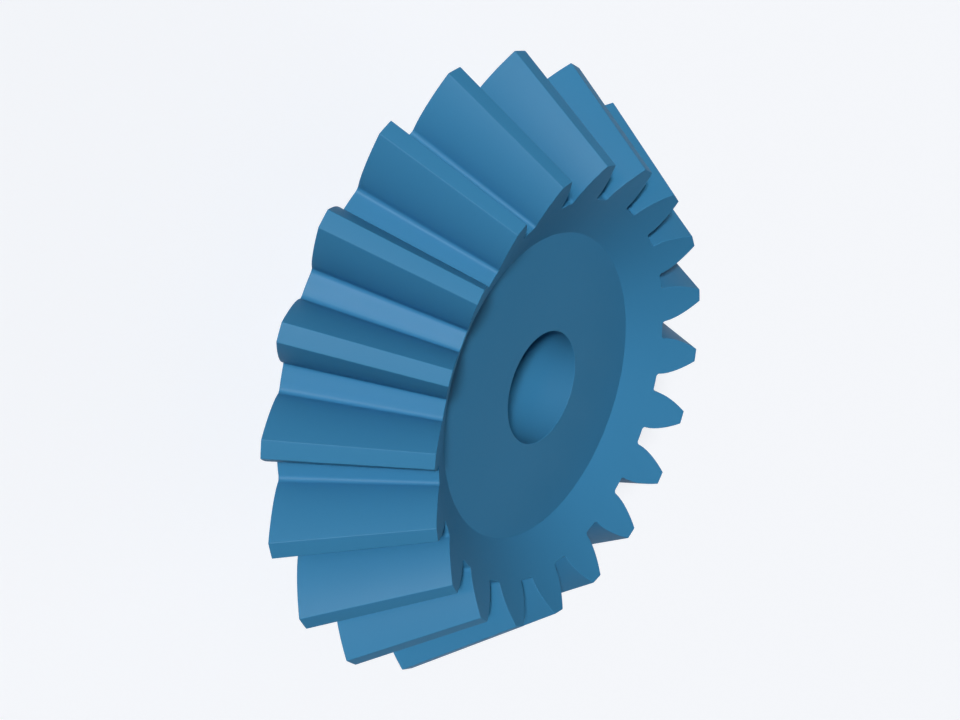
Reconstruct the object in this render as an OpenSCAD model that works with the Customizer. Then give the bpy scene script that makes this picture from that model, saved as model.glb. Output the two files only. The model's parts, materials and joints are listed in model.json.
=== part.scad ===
/* [Teeth] */
// Number of teeth
teeth = 20; // [16:1:30]
// Number of teeth on the wheel that it drives, on a shaft at right angles
wheel_teeth = 30; // [18:1:50]
// Module at the large end: the pitch diameter for each tooth
tooth_module = 3; // [2.5:0.1:4]
// Pressure angle of the flanks
pressure_angle = 20; // [17:0.5:25]
// Length of a tooth along its pitch line
face_width = 15; // [8:0.5:18]
// Height of the tips above the pitch line at the large end, in modules
addendum_factor = 1.256; // [1:0.01:1.35]
// Depth of the roots below the pitch line at the large end, in modules
dedendum_factor = 0.932; // [0.85:0.01:1.25]
// Clearance that the tips leave in the roots of the wheel, in modules
clearance_factor = 0.188; // [0.1:0.01:0.3]
// Thickness of a tooth along the pitch circle at the large end, in modules
thickness_factor = 1.73; // [1.5:0.01:1.9]
// Radius of the root fillets at the large end
root_fillet = 0.5; // [0.3:0.05:0.9]

/* [Body] */
// Height of the pitch circle of the large end above the back face
pitch_height = 10; // [9:0.5:16]
// Width of the dished band between the front face and the tooth roots
dish_w = 3.8; // [1:0.1:8]

/* [Hub] */
// Diameter of the shaft bore
bore_d = 12; // [6:0.5:18]
// Diameter of the hub behind the teeth
hub_d = 34; // [24:0.5:42]
// Height of the hub, from the back face to the rim
hub_h = 5; // [3:0.5:7]
// Chamfer around the back face of the hub
hub_chamfer = 1; // [0.3:0.1:2]

/* [Hidden] */

// Facets of the turned surfaces
turned_fn = 180;
// Steps along one involute flank and along one root fillet
flank_steps = 10;
fillet_steps = 5;
// How far the gap and bore cutters reach past what they cut
cut_margin = 3;

// The pitch cone has its apex where the axes of the two shafts cross
pitch_r = teeth * tooth_module / 2;
pitch_angle = atan2(teeth, wheel_teeth);
cone_distance = pitch_r / sin(pitch_angle);
apex_z = pitch_height + cone_distance * cos(pitch_angle);
apex = [0, 0, apex_z];

addendum = addendum_factor * tooth_module;
dedendum = dedendum_factor * tooth_module;
thickness = thickness_factor * tooth_module;

// The face cone runs parallel to the root cone of the wheel
wheel_dedendum = addendum + clearance_factor * tooth_module;
face_angle = pitch_angle + atan2(wheel_dedendum, cone_distance);
toe_addendum = addendum - face_width * tan(face_angle - pitch_angle);
// The roots run to the apex, so their depth shrinks with the distance from it
toe_dedendum = dedendum * (cone_distance - face_width) / cone_distance;

// A point by its distance from the apex along the pitch line and its height above that line,
// given as [radius, z]
function at_cone(distance, height) = [
    distance * sin(pitch_angle) + height * cos(pitch_angle),
    apex_z - distance * cos(pitch_angle) + height * sin(pitch_angle)
];
heel_tip = at_cone(cone_distance, addendum);
heel_root = at_cone(cone_distance, -dedendum);
toe_tip = at_cone(cone_distance - face_width, toe_addendum);
toe_root = at_cone(cone_distance - face_width, -toe_dedendum);

// The small end of the teeth runs on inwards as one dished cone to the flat front face
front_r = toe_root[0] - dish_w;
front_z = toe_root[1] - dish_w * tan(pitch_angle);
// The large end runs on inwards as the back cone, to the level where the hub starts
rim_r = heel_root[0] - (heel_root[1] - hub_h) / tan(pitch_angle);

// The back cone rolled out flat carries the teeth as a spur gear of this size
back_cone_r = pitch_r / cos(pitch_angle);
back_apex_z = pitch_height - pitch_r * tan(pitch_angle);
base_r = back_cone_r * cos(pressure_angle);
tip_r = back_cone_r + addendum;
root_r = back_cone_r - dedendum;
half_pitch_angle = 180 / teeth * cos(pitch_angle);

// Involute function, in degrees
function involute(a) = tan(a) * 180 / PI - a;
// Half the angle of the gap between two teeth at a rolled-out radius: involute above the base
// circle, straight to the centre below it
function gap_half(r) =
    half_pitch_angle
    - thickness / 2 / back_cone_r * 180 / PI
    - involute(pressure_angle)
    + involute(acos(base_r / max(r, base_r)));

function polar(r, a) = [r * cos(a), r * sin(a)];

// The fillet touches the root circle and the flank. It is no larger than the gap allows.
fillet_r = min(root_fillet, 0.95 * root_r * sin(gap_half(root_r)));
fillet_centre_r = root_r + fillet_r;
// A normal of the involute is a tangent of the base circle, so the centre of a fillet that
// touches the involute lies on the same involute turned by the fillet radius
centre_tangent = sqrt(max(0, pow(fillet_centre_r, 2) - pow(base_r, 2)));
meets_involute = centre_tangent > fillet_r;
fillet_centre_a = meets_involute
    ? gap_half(fillet_centre_r) - fillet_r / base_r * 180 / PI
    : gap_half(root_r) - asin(fillet_r / fillet_centre_r);
fillet_top_r = meets_involute
    ? norm([base_r, centre_tangent - fillet_r])
    : sqrt(pow(fillet_centre_r, 2) - pow(fillet_r, 2));
fillet_centre = polar(fillet_centre_r, fillet_centre_a);
fillet_top = polar(fillet_top_r, gap_half(fillet_top_r)) - fillet_centre;
// The arc starts at the root circle, straight below its centre, and ends on the flank
arc_start = fillet_centre_a + 180;
arc_sweep = atan2(fillet_top[1], fillet_top[0]) - arc_start;

// One side of a gap rolled out flat, from its root to past its tip, as [radius, angle]
flank_start = max(fillet_top_r, base_r);
gap_side = concat(
    [for (i = [0 : fillet_steps])
        let (p = fillet_centre + polar(fillet_r, arc_start + arc_sweep * i / fillet_steps))
        [norm(p), atan2(p[1], p[0])]],
    meets_involute ? [] : [[base_r, gap_half(base_r)]],
    [for (i = [1 : flank_steps])
        let (r = flank_start + (tip_r - flank_start) * i / flank_steps)
        [r, gap_half(r)]],
    [[tip_r + cut_margin, gap_half(tip_r)]]
);

// Wraps a rolled-out point onto the back cone, then moves it along its line from the apex
// until it lies outside the blank
function wrapped(p, side) =
    let (a = side * p[1] / cos(pitch_angle))
    let (r = p[0] * cos(pitch_angle))
    let (on_cone = [r * cos(a), r * sin(a), back_apex_z + p[0] * sin(pitch_angle)])
    apex + (on_cone - apex) * (1 + cut_margin / cone_distance);

// Turned blank with the back cone, face cone, dished front and hub
module blank() {
    rotate_extrude($fn = turned_fn)
        polygon([
            [0, 0],
            [hub_d / 2 - hub_chamfer, 0],
            [hub_d / 2, hub_chamfer],
            [hub_d / 2, hub_h],
            [rim_r, hub_h],
            heel_tip,
            toe_tip,
            [front_r, front_z],
            [0, front_z]
        ]);
}

// The space between two teeth: straight lines that all run to the apex, so that the teeth
// shrink towards it
module tooth_gap() {
    n = len(gap_side);
    points = concat(
        [apex],
        [for (p = gap_side) wrapped(p, 1)],
        [for (p = gap_side) wrapped(p, -1)]
    );
    flanks = [for (i = [1 : n - 1]) each [[0, i, i + 1], [0, n + i + 1, n + i]]];
    root_and_top = [[0, n + 1, 1], [0, n, 2 * n]];
    end_cap = [for (i = [1 : n - 1]) [i, n + i, n + i + 1, i + 1]];
    polyhedron(points = points, faces = concat(flanks, root_and_top, end_cap), convexity = 4);
}

// Straight bevel gear cut from one turned blank, with a plain bore
module bevel_pinion() {
    color([0.21, 0.47, 0.64])
        difference() {
            blank();
            for (i = [0 : teeth - 1])
                rotate([0, 0, i * 360 / teeth])
                    tooth_gap();
            translate([0, 0, -cut_margin])
                cylinder(h = front_z + 2 * cut_margin, d = bore_d, $fn = turned_fn);
        }
}

bevel_pinion();
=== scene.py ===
import json
import math

import bpy
import numpy as np
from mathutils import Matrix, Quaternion, Vector


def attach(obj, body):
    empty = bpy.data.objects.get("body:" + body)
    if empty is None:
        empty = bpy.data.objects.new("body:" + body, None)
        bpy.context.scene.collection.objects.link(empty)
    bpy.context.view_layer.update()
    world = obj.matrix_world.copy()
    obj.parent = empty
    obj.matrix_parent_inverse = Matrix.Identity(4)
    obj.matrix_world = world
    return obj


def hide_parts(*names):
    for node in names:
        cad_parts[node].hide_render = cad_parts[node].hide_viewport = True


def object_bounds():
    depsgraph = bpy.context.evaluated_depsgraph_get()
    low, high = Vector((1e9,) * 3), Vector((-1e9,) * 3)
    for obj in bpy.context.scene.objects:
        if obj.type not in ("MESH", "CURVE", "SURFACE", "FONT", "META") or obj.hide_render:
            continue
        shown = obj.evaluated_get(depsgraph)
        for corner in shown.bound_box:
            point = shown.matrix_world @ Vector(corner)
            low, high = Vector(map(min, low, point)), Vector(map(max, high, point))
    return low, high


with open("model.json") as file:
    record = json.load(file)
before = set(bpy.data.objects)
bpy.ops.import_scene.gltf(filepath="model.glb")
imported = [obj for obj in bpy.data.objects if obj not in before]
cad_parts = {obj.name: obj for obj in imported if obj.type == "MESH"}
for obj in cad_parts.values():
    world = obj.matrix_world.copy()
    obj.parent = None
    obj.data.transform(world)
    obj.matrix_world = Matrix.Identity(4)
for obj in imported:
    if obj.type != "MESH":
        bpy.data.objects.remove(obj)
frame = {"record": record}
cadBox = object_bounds()
print("frame loaded, box", [round(v, 5) for corner in cadBox for v in corner])


# Bevel pinion. Lengths in metres, angles in degrees, at the large end unless a note says otherwise
pinionBody = {
    "teeth": 20,
    "wheelTeeth": 30,  # teeth of the wheel it drives, on a shaft at right angles
    "module": 0.003,
    "pressureAngle": 20,
    "faceWidth": 0.015,
    "addendum": 0.003768,
    "dedendum": 0.002796,
    "clearance": 0.000564,
    "toothThickness": 0.00519,  # along the pitch circle
    "rootFillet": 0.0005,
    "pitchHeight": 0.010,  # pitch circle above the back face
    "dishWidth": 0.0038,
    "hubRadius": 0.017,
    "hubHeight": 0.005,
    "hubChamfer": 0.001,
    "edgeRound": 0.00005,  # how far the rounding of an edge reaches on each side
    "tipRound": 0.00005,  # the same along the tips
    "holdBand": 0.00004,  # strip beside a rounding that keeps the flat side flat
    "weldBand": 0.0006,  # width of the ring where the toothed mesh meets the turned one
    "weldRatio": 4,  # tooth columns to each column of the turned mesh
    "rootSteps": 2,  # steps over half a root, and so on up to half a top land
    "filletSteps": 5,
    "straightSteps": 2,
    "flankSteps": 8,
    "edgeSteps": 3,  # steps round any rounded edge
    "landSteps": 2,
    "lengthSteps": 6,  # steps along a tooth
    "endSteps": 4,  # steps from an end of the teeth to the weld
    "turnedStep": 0.0025,  # longest step along the turned profile
}


# Pitch cone: tan(angle) = teeth / wheel teeth, and its apex lies one cone length from the pitch
# circle. The back cone, rolled out flat, carries the teeth as a spur gear.
def pinionCones(p):
    pitchRadius = p["teeth"] * p["module"] / 2
    pitchAngle = math.atan2(p["teeth"], p["wheelTeeth"])
    length = pitchRadius / math.sin(pitchAngle)
    backRadius = pitchRadius / math.cos(pitchAngle)
    return {
        "angle": pitchAngle,
        "length": length,
        "toeLength": length - p["faceWidth"],
        "apexZ": p["pitchHeight"] + pitchRadius / math.tan(pitchAngle),
        "backApexZ": p["pitchHeight"] - pitchRadius * math.tan(pitchAngle),
        "backRadius": backRadius,
        "baseRadius": backRadius * math.cos(math.radians(p["pressureAngle"])),
        "rootRadius": backRadius - p["dedendum"],
        "halfPitch": math.pi / p["teeth"] * math.cos(pitchAngle),
        # slope of the tips against the pitch line, which keeps the same clearance along the tooth
        "tipSlope": (p["addendum"] + p["clearance"]) / length,
    }


# Half the angle of a tooth gap at a rolled-out radius: half the pitch, less half a tooth, plus the
# growth of the involute tan(a) - a since the pitch circle
def gapHalf(p, c, radius):
    def involute(a):
        return np.tan(a) - a

    pressure = np.arccos(c["baseRadius"] / np.maximum(radius, c["baseRadius"]))
    start = c["halfPitch"] - p["toothThickness"] / 2 / c["backRadius"]
    return start - involute(math.radians(p["pressureAngle"])) + involute(pressure)


# Root fillet: it touches the root circle and the flank, which runs straight to the centre below
# the base circle. Its centre lies one fillet radius off that straight part, or off the involute,
# where that offset is the same curve turned back by fillet / base radius. The arc runs from the
# root circle round to the flank. Points are complex numbers here, and are returned as rolled-out
# radius and angle, with the radius at which the fillet ends.
def rootFilletArc(p, c, share):
    fillet = p["rootFillet"]
    centreRadius = c["rootRadius"] + fillet
    tangent = math.sqrt(max(0, centreRadius**2 - c["baseRadius"] ** 2))
    if tangent > fillet:
        centreAngle = gapHalf(p, c, centreRadius) - fillet / c["baseRadius"]
        topRadius = math.hypot(c["baseRadius"], tangent - fillet)
    else:
        centreAngle = gapHalf(p, c, c["rootRadius"]) - math.asin(fillet / centreRadius)
        topRadius = math.sqrt(centreRadius**2 - fillet**2)
    centre = centreRadius * np.exp(1j * centreAngle)
    top = topRadius * np.exp(1j * gapHalf(p, c, topRadius)) - centre
    sweep = np.angle(top / -centre)
    arc = centre - fillet * np.exp(1j * (centreAngle + sweep * share))
    return np.abs(arc), np.angle(arc), topRadius


# Quarter turn of a rounding: 1 - sin and 1 - cos of an angle from 0 to 90 degrees
def roundingShares(steps):
    turn = np.linspace(0, math.pi / 2, steps + 1)
    return 1 - np.sin(turn), 1 - np.cos(turn)


# Outline of one pitch, from the middle of a gap over the tooth to the middle of the next gap, one
# row for each distance from the apex. All lengths are divided by that distance over the cone
# length, because roots and flanks shrink towards the apex and keep their angles.
def pitchOutline(p, c, distance):
    scale = distance[:, None] / c["length"]
    ones = np.ones_like(scale)
    tipHeight = p["addendum"] - (c["length"] - distance[:, None]) * c["tipSlope"]
    tipRadius = c["backRadius"] + tipHeight / scale
    tipAngle = gapHalf(p, c, tipRadius)

    # root, from the middle of the gap, and fillet
    filletShare = np.arange(p["filletSteps"]) / p["filletSteps"]
    filletRadius, filletAngle, filletTop = rootFilletArc(p, c, filletShare)
    rootRadius = np.full(p["rootSteps"], c["rootRadius"])
    rootAngle = np.arange(p["rootSteps"]) / p["rootSteps"] * filletAngle[0]
    radii = [ones * rootRadius, ones * filletRadius]
    angles = [ones * rootAngle, ones * filletAngle]

    # straight stretch below the base circle, if the fillet leaves one, then the involute flank up
    # to the band beside the rounded tip edge
    lean = np.arccos(c["baseRadius"] / tipRadius)
    reach = p["tipRound"] / scale
    hold = p["holdBand"] / scale
    flankEnd = tipRadius - (reach + hold) * np.cos(lean)
    steps = p["straightSteps"] if filletTop < c["baseRadius"] else 0
    straight = np.linspace(filletTop, c["baseRadius"], steps + 1)[:steps]
    start = max(filletTop, c["baseRadius"])
    involute = start + (flankEnd - start) * np.linspace(0, 1, p["flankSteps"] + 1)
    flank = np.hstack([ones * straight, involute])
    radii.append(flank)
    angles.append(gapHalf(p, c, flank))

    # tip edge: leaves the flank, turns past the corner and joins the top land
    alongFlank, alongTop = roundingShares(p["edgeSteps"])
    edgeRadius = tipRadius - reach * np.cos(lean)
    edgeAngle = gapHalf(p, c, edgeRadius)
    radii.append(tipRadius + (edgeRadius - tipRadius) * alongFlank)
    angles.append(tipAngle + (edgeAngle - tipAngle) * alongFlank + reach / tipRadius * alongTop)

    # top land, from the band beside the edge to the middle of the tooth
    landStart = tipAngle + (reach + hold) / tipRadius
    land = landStart + (c["halfPitch"] - landStart) * np.linspace(0, 1, p["landSteps"] + 1)
    radii.append(tipRadius + 0 * land)
    angles.append(land)

    # the other half of the tooth mirrors this one
    radius = np.hstack(radii)
    angle = np.hstack(angles)
    return (
        np.hstack([radius, radius[:, -2::-1]]),
        np.hstack([angle, 2 * c["halfPitch"] - angle[:, -2::-1]]),
    )


# Moves an outline into the material, at right angles to itself, by a length that is 0 on the tooth
# surfaces and grows over a rounded end
def insetOutline(radius, angle, inset):
    along = np.gradient(radius, axis=1)
    across = radius * np.gradient(angle, axis=1)
    size = np.hypot(along, across)
    return radius - inset * across / size, angle + inset * along / size / radius


# Toothed ring as a grid: rows run from the back cone over the tooth surfaces to the small end,
# columns run once round. A rolled-out radius R at angle g and cone distance D wraps to
# r = R cos(pitch angle), turn = g / cos(pitch angle), and shrinks towards the apex by D / length.
def toothedRing(p, c, heelCircle, toeCircle):
    reach, hold = p["edgeRound"], p["holdBand"]
    alongTooth, alongEnd = roundingShares(p["edgeSteps"])
    heel, toe = c["length"], c["toeLength"]
    middle = np.linspace(heel - reach - hold, toe + reach + hold, p["lengthSteps"] + 1)
    distance = np.hstack([heel, heel - reach * alongTooth[::-1], middle, toe + reach * alongTooth, toe])
    inset = np.hstack([reach + hold, reach * alongEnd[::-1], 0 * middle, reach * alongEnd, reach + hold])
    radius, angle = pitchOutline(p, c, distance)
    scale = distance[:, None] / c["length"]
    radius, angle = insetOutline(radius, angle, inset[:, None] / scale)

    # the last outline of each end spreads out evenly onto a plain circle on the same cone
    even = np.linspace(0, 2 * c["halfPitch"], angle.shape[1])
    spread = np.linspace(1, 0, p["endSteps"] + 1)[:-1, None]

    def endRows(row, circle):
        flat = circle / math.cos(c["angle"]) / scale[row]
        return (
            radius[row] + (flat - radius[row]) * spread,
            angle[row] + (even - angle[row]) * spread,
        )

    heelRadius, heelAngle = endRows(0, heelCircle)
    toeRadius, toeAngle = endRows(-1, toeCircle)
    radius = np.vstack([heelRadius, radius, toeRadius[::-1]])
    angle = np.vstack([heelAngle, angle, toeAngle[::-1]])
    distance = np.hstack([np.full(p["endSteps"], heel), distance, np.full(p["endSteps"], toe)])

    # drop the last column, which the next tooth starts with, and repeat the pitch round the gear
    scale = distance[:, None, None] / c["length"]
    radius = radius[:, None, :-1]
    pitches = 2 * c["halfPitch"] * np.arange(p["teeth"])[:, None]
    turn = (angle[:, None, :-1] + pitches) / math.cos(c["angle"])
    r = scale * radius * math.cos(c["angle"])
    z = c["apexZ"] - scale * (c["apexZ"] - c["backApexZ"] - radius * math.sin(c["angle"]))
    grid = np.stack([r * np.cos(turn), r * np.sin(turn), z + 0 * turn], axis=-1)
    return grid.reshape(len(distance), -1, 3)


# Corners of a profile rounded: each corner becomes corner + a (1 - sin t) + b (1 - cos t), with a
# and b the edges' directions times the reach, and a point one band further on each side
def roundedProfile(p, corners):
    reach, hold = p["edgeRound"], p["holdBand"]
    corner = corners[1:-1, None]
    before = corners[:-2, None] - corner
    after = corners[2:, None] - corner
    before /= np.linalg.norm(before, axis=2, keepdims=True)
    after /= np.linalg.norm(after, axis=2, keepdims=True)
    fade, grow = roundingShares(p["edgeSteps"])
    fade = np.hstack([reach + hold, reach * fade, 0])[:, None]
    grow = np.hstack([0, reach * grow, reach + hold])[:, None]
    return np.vstack([corners[:1], (corner + before * fade + after * grow).reshape(-1, 2), corners[-1:]])


# Long stretches of a profile split into equal parts, so that faces keep a fair shape
def splitStretches(points, longest):
    stretch = np.linalg.norm(np.diff(points, axis=0), axis=1)
    parts = np.ceil(stretch / longest).astype(int)
    place = np.hstack([i + np.arange(n) / n for i, n in enumerate(parts)] + [len(parts)])
    steps = np.arange(len(points))
    return np.stack([np.interp(place, steps, side) for side in points.T], axis=1)


# Profile of the front face, bore and hub, from one weld round to the other. The dish runs inwards
# from the roots of the small end, at the slope of the back cone. Each weld is a ring one band wide
# and one band off the last corner. Returned with the radii at which the two welds end.
def bodyProfile(p, c, boreRadius):
    slope = math.tan(c["angle"])
    along = np.array([math.sin(c["angle"]), -math.cos(c["angle"])])
    across = np.array([math.cos(c["angle"]), math.sin(c["angle"])])
    toeDepth = p["dedendum"] * c["toeLength"] / c["length"]
    toeRoot = np.array([0, c["apexZ"]]) + along * c["toeLength"] - across * toeDepth
    frontRadius = toeRoot[0] - p["dishWidth"]
    frontZ = toeRoot[1] - p["dishWidth"] * slope
    rimRadius = (p["hubHeight"] - c["backApexZ"]) / slope
    toeWeld = frontRadius + p["weldBand"]
    heelWeld = rimRadius + p["weldBand"]
    corners = np.array([
        [toeWeld, frontZ + p["weldBand"] * slope],
        [frontRadius, frontZ],
        [boreRadius, frontZ],
        [boreRadius, 0],
        [p["hubRadius"] - p["hubChamfer"], 0],
        [p["hubRadius"], p["hubChamfer"]],
        [p["hubRadius"], p["hubHeight"]],
        [rimRadius, p["hubHeight"]],
        [heelWeld, p["hubHeight"] + p["weldBand"] * slope],
    ])
    profile = splitStretches(roundedProfile(p, corners), p["turnedStep"])
    return profile, heelWeld + p["weldBand"], toeWeld + p["weldBand"]


# Profile turned round the axis: (r cos a, r sin a, z) for every profile point and angle
def turnedGrid(profile, columns):
    turn = np.arange(columns) * 2 * math.pi / columns
    r, z = profile[:, :1], profile[:, 1:]
    return np.stack([r * np.cos(turn), r * np.sin(turn), z + 0 * turn], axis=-1)


# Faces between the rows of a grid whose columns close on themselves
def gridFaces(rows, columns, start):
    row = np.arange(rows - 1)[:, None] * columns + start
    here = np.arange(columns)
    ahead = np.roll(here, -1)
    corners = [row + here, row + ahead, row + columns + ahead, row + columns + here]
    return np.stack(corners, axis=-1).reshape(-1, 4)


# Faces of a weld: every coarse edge meets several fine ones in one flat face, whose corners are
# the run of fine points from one coarse point to the next, and those two coarse points. Which of
# the rows comes first along the surface sets the turn, so that the faces point outwards.
def weldFaces(fine, coarse, fineFirst):
    each = len(fine) // len(coarse)
    run = np.append(fine, fine[0])[np.arange(len(coarse))[:, None] * each + np.arange(each + 1)]
    here, ahead = coarse[:, None], np.roll(coarse, -1)[:, None]
    if fineFirst:
        return np.hstack([run, ahead, here])
    return np.hstack([here, ahead, run[:, ::-1]])


# New mesh object at the origin from points and the faces between them
def addObject(name, points, faces):
    mesh = bpy.data.meshes.new(name)
    mesh.from_pydata(points, [], faces)
    item = bpy.data.objects.new(name, mesh)
    bpy.context.scene.collection.objects.link(item)
    return item


# Whole pinion: the fine toothed ring and the coarser turned body as two grids, closed by the two
# welds, one from the last row of the ring to the front and one from the back to its first row
def buildPinion(p, boreRadius):
    c = pinionCones(p)
    profile, heelCircle, toeCircle = bodyProfile(p, c, boreRadius)
    teeth = toothedRing(p, c, heelCircle, toeCircle)
    fineColumns = teeth.shape[1]
    coarseColumns = fineColumns // p["weldRatio"]
    turned = turnedGrid(profile, coarseColumns)

    start = len(teeth) * fineColumns
    firstFine = np.arange(fineColumns)
    lastFine = firstFine + start - fineColumns
    firstCoarse = np.arange(coarseColumns) + start
    lastCoarse = firstCoarse + (len(turned) - 1) * coarseColumns
    faces = [
        *gridFaces(len(teeth), fineColumns, 0).tolist(),
        *gridFaces(len(turned), coarseColumns, start).tolist(),
        *weldFaces(lastFine, firstCoarse, True).tolist(),
        *weldFaces(firstFine, lastCoarse, False).tolist(),
    ]
    points = np.vstack([teeth.reshape(-1, 3), turned.reshape(-1, 3)])
    piece = addObject("bevelPinionBody", points.tolist(), faces)
    piece.data.shade_smooth()
    return piece


bore = next(m for m in frame["record"]["mounts"] if m["name"] == "bore")
pinion = buildPinion(pinionBody, bore["dims"]["r_mm"] / 1000)  # millimetres to metres
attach(pinion, "root")
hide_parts("bevel_pinion")
print("pinion built,", len(pinion.data.polygons), "faces")


# Matte blue plastic, coloured through. Colours are linear, scales are in waves to the metre
bluePlastic = {
    "deepBlue": (0.0360, 0.188, 0.357, 1),
    "paleBlue": (0.0388, 0.203, 0.385, 1),
    "mottleScale": 70,
    "mottleDetail": 3,
    "roughness": (0.48, 0.56),
    "roughnessScale": 700,
    "roughnessDetail": 2,
    "specular": 0.06,  # low, so that faces seen edge on don't turn grey
    "grainScale": 5000,
    "grainDetail": 2,
    "grainDepth": 0.000004,
}


# New node: each value goes to the node's property of that name, or else to its input
def addNode(tree, kind, **values):
    node = tree.nodes.new(kind)
    for name, value in values.items():
        if hasattr(node, name):
            setattr(node, name, value)
        else:
            node.inputs[name].default_value = value
    return node


# Colour = mix of two close blues by soft noise, roughness by finer noise, and a bump of fine
# moulding grain
def plasticMaterial(s):
    material = bpy.data.materials.new("bluePlastic")
    material.use_nodes = True
    tree = material.node_tree
    shader = tree.nodes["Principled BSDF"]
    shader.inputs["Specular IOR Level"].default_value = s["specular"]
    place = addNode(tree, "ShaderNodeTexCoord").outputs["Object"]

    def noise(scale, detail):
        node = addNode(tree, "ShaderNodeTexNoise", Scale=scale, Detail=detail)
        tree.links.new(place, node.inputs["Vector"])
        return node.outputs["Fac"]

    colour = addNode(tree, "ShaderNodeMix", data_type="RGBA")
    mottle = noise(s["mottleScale"], s["mottleDetail"])
    tree.links.new(mottle, colour.inputs["Factor"])
    deep, pale = [x for x in colour.inputs if x.type == "RGBA"]
    deep.default_value = s["deepBlue"]
    pale.default_value = s["paleBlue"]
    mixed = next(x for x in colour.outputs if x.type == "RGBA")
    tree.links.new(mixed, shader.inputs["Base Color"])

    low, high = s["roughness"]
    spread = addNode(tree, "ShaderNodeMapRange")
    spread.inputs["To Min"].default_value = low
    spread.inputs["To Max"].default_value = high
    unevenness = noise(s["roughnessScale"], s["roughnessDetail"])
    tree.links.new(unevenness, spread.inputs["Value"])
    tree.links.new(spread.outputs["Result"], shader.inputs["Roughness"])

    bump = addNode(tree, "ShaderNodeBump", Distance=s["grainDepth"])
    grain = noise(s["grainScale"], s["grainDetail"])
    tree.links.new(grain, bump.inputs["Height"])
    tree.links.new(bump.outputs["Normal"], shader.inputs["Normal"])
    return material


pinion.data.materials.append(plasticMaterial(bluePlastic))
print("material made")


# Soft lamps far off: where each stands as seen from the gear (azimuth from -Y towards +X, and
# height) and how wide it looks, in degrees, and its level on a surface that faces it, where 1 shows
# white as white. One lamp only brings out the gloss, and the back lamp only fills.
lamps = {
    "keyLamp": {"azimuth": 1, "height": 29.5, "spread": 7, "level": 0.98, "shade": True, "gloss": True},
    "glossLamp": {"azimuth": 3, "height": 16, "spread": 6, "level": 2.8, "shade": False, "gloss": True},
    "backLamp": {"azimuth": 180, "height": 4, "spread": 30, "level": 0.38, "shade": True, "gloss": False},
}


# Stands a new lamp or camera off a target, and faces it. It stands in the direction
# (sin a cos h, -cos a cos h, sin h) for azimuth a and height h, at that distance.
def standOff(data, s, distance=1, target=(0, 0, 0)):
    a, h = math.radians(s["azimuth"]), math.radians(s["height"])
    back = Vector((math.sin(a) * math.cos(h), -math.cos(a) * math.cos(h), math.sin(h)))
    item = bpy.data.objects.new(data.name, data)
    item.location = Vector(target) + back * distance
    item.rotation_mode = "QUATERNION"
    item.rotation_quaternion = (-back).to_track_quat("-Z", "Y")
    bpy.context.scene.collection.objects.link(item)
    return item


# A sun of strength pi shows a white surface that faces it as 1. Only its direction counts
def placeLamp(name, s):
    data = bpy.data.lights.new(name, "SUN")
    data.angle = math.radians(s["spread"])
    data.energy = math.pi * s["level"]
    lamp = standOff(data, s)
    lamp.visible_diffuse = s["shade"]
    lamp.visible_glossy = s["gloss"]


for lampName, lampValues in lamps.items():
    placeLamp(lampName, lampValues)
print("lamps placed")


# Plain pale floor and surroundings. Camera, glossy and transmission rays see the pale colour
studio = {
    "floorSize": 20,
    "floorDiffuse": 0.45,  # share of the light on the floor that it sends back
    "skyStrength": 0.08,
    "paleColour": (0.905, 0.922, 0.956),
}


# 1 for camera, glossy and transmission rays, and 0 for the rest
def seenDirectly(tree):
    path = addNode(tree, "ShaderNodeLightPath")
    most = path.outputs["Is Camera Ray"]
    for name in ("Is Glossy Ray", "Is Transmission Ray"):
        larger = addNode(tree, "ShaderNodeMath", operation="MAXIMUM")
        tree.links.new(most, larger.inputs[0])
        tree.links.new(path.outputs[name], larger.inputs[1])
        most = larger.outputs[0]
    return most


# Light on an open floor: the sky, plus each shading lamp's level times the sine of its height
def levelOnFloor(sky, lights):
    return sky + sum(s["level"] * math.sin(math.radians(s["height"])) for s in lights if s["shade"])


# Floor = diffuse, which takes the shadow, plus a glow that only direct rays see, so that an open
# floor shows the pale colour: the glow is the pale colour less the light that is sent back
def floorMaterial(s, level):
    grey = s["floorDiffuse"]
    glowColour = [c - grey * level for c in s["paleColour"]]
    material = bpy.data.materials.new("paleFloor")
    material.use_nodes = True
    tree = material.node_tree
    tree.nodes.clear()
    diffuse = addNode(tree, "ShaderNodeBsdfDiffuse", Color=(grey, grey, grey, 1))
    glow = addNode(tree, "ShaderNodeEmission", Color=(*glowColour, 1))
    both = addNode(tree, "ShaderNodeAddShader")
    out = addNode(tree, "ShaderNodeOutputMaterial")
    tree.links.new(seenDirectly(tree), glow.inputs["Strength"])
    tree.links.new(diffuse.outputs[0], both.inputs[0])
    tree.links.new(glow.outputs[0], both.inputs[1])
    tree.links.new(both.outputs[0], out.inputs["Surface"])
    return material


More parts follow.
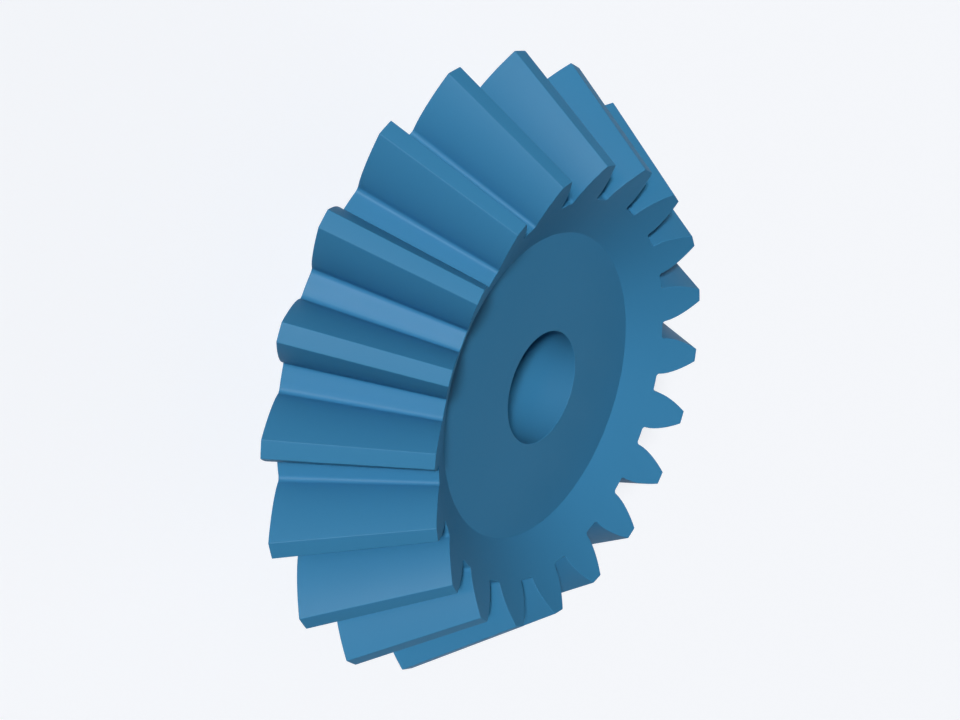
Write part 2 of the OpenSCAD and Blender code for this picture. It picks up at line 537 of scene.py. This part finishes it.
# Square floor at the height that the gear stands on
def buildFloor(s, height, level):
    half = s["floorSize"] / 2
    corners = [(-half, -half, height), (half, -half, height), (half, half, height), (-half, half, height)]
    floor = addObject("studioFloor", corners, [(0, 1, 2, 3)])
    floor.data.materials.append(floorMaterial(s, level))


# World: direct rays see the pale colour, and the rest get the weak even light of the sky
def buildSky(s):
    world = bpy.data.worlds.new("studioSky")
    world.use_nodes = True
    tree = world.node_tree
    tree.nodes.clear()
    lit = addNode(tree, "ShaderNodeBackground", Color=(1, 1, 1, 1), Strength=s["skyStrength"])
    seen = addNode(tree, "ShaderNodeBackground", Color=(*s["paleColour"], 1))
    choose = addNode(tree, "ShaderNodeMixShader")
    out = addNode(tree, "ShaderNodeOutputWorld")
    tree.links.new(seenDirectly(tree), choose.inputs["Fac"])
    tree.links.new(lit.outputs[0], choose.inputs[1])
    tree.links.new(seen.outputs[0], choose.inputs[2])
    tree.links.new(choose.outputs[0], out.inputs["Surface"])
    bpy.context.scene.world = world


buildFloor(studio, cadBox[0].z, levelOnFloor(studio["skyStrength"], lamps.values()))
buildSky(studio)
print("floor and sky built")


# Camera at the photo's angle: it looks at the target from that azimuth, height and distance, and
# is rolled about its own line of sight. Lengths in metres, lens and sensor in millimetres
cameraStand = {
    "target": (-0.000716, -0.000781, 0.010927),
    "azimuth": 5.4205,
    "height": 33.4955,
    "distance": 0.136976,
    "roll": 107.512,
    "lens": 48.648,
    "sensor": 36,
    "nearest": 0.01,
}


# Rolled camera = the upright one's turn, then a turn about its own Z axis
def placeCamera(s):
    data = bpy.data.cameras.new("photoCamera")
    data.lens = s["lens"]
    data.sensor_width = s["sensor"]
    data.clip_start = s["nearest"]
    camera = standOff(data, s, s["distance"], s["target"])
    upright = camera.rotation_quaternion.copy()
    camera.rotation_quaternion = upright @ Quaternion((0, 0, 1), math.radians(s["roll"]))
    bpy.context.scene.camera = camera


placeCamera(cameraStand)
bpy.context.scene.view_settings.view_transform = "Standard"
print("camera placed")
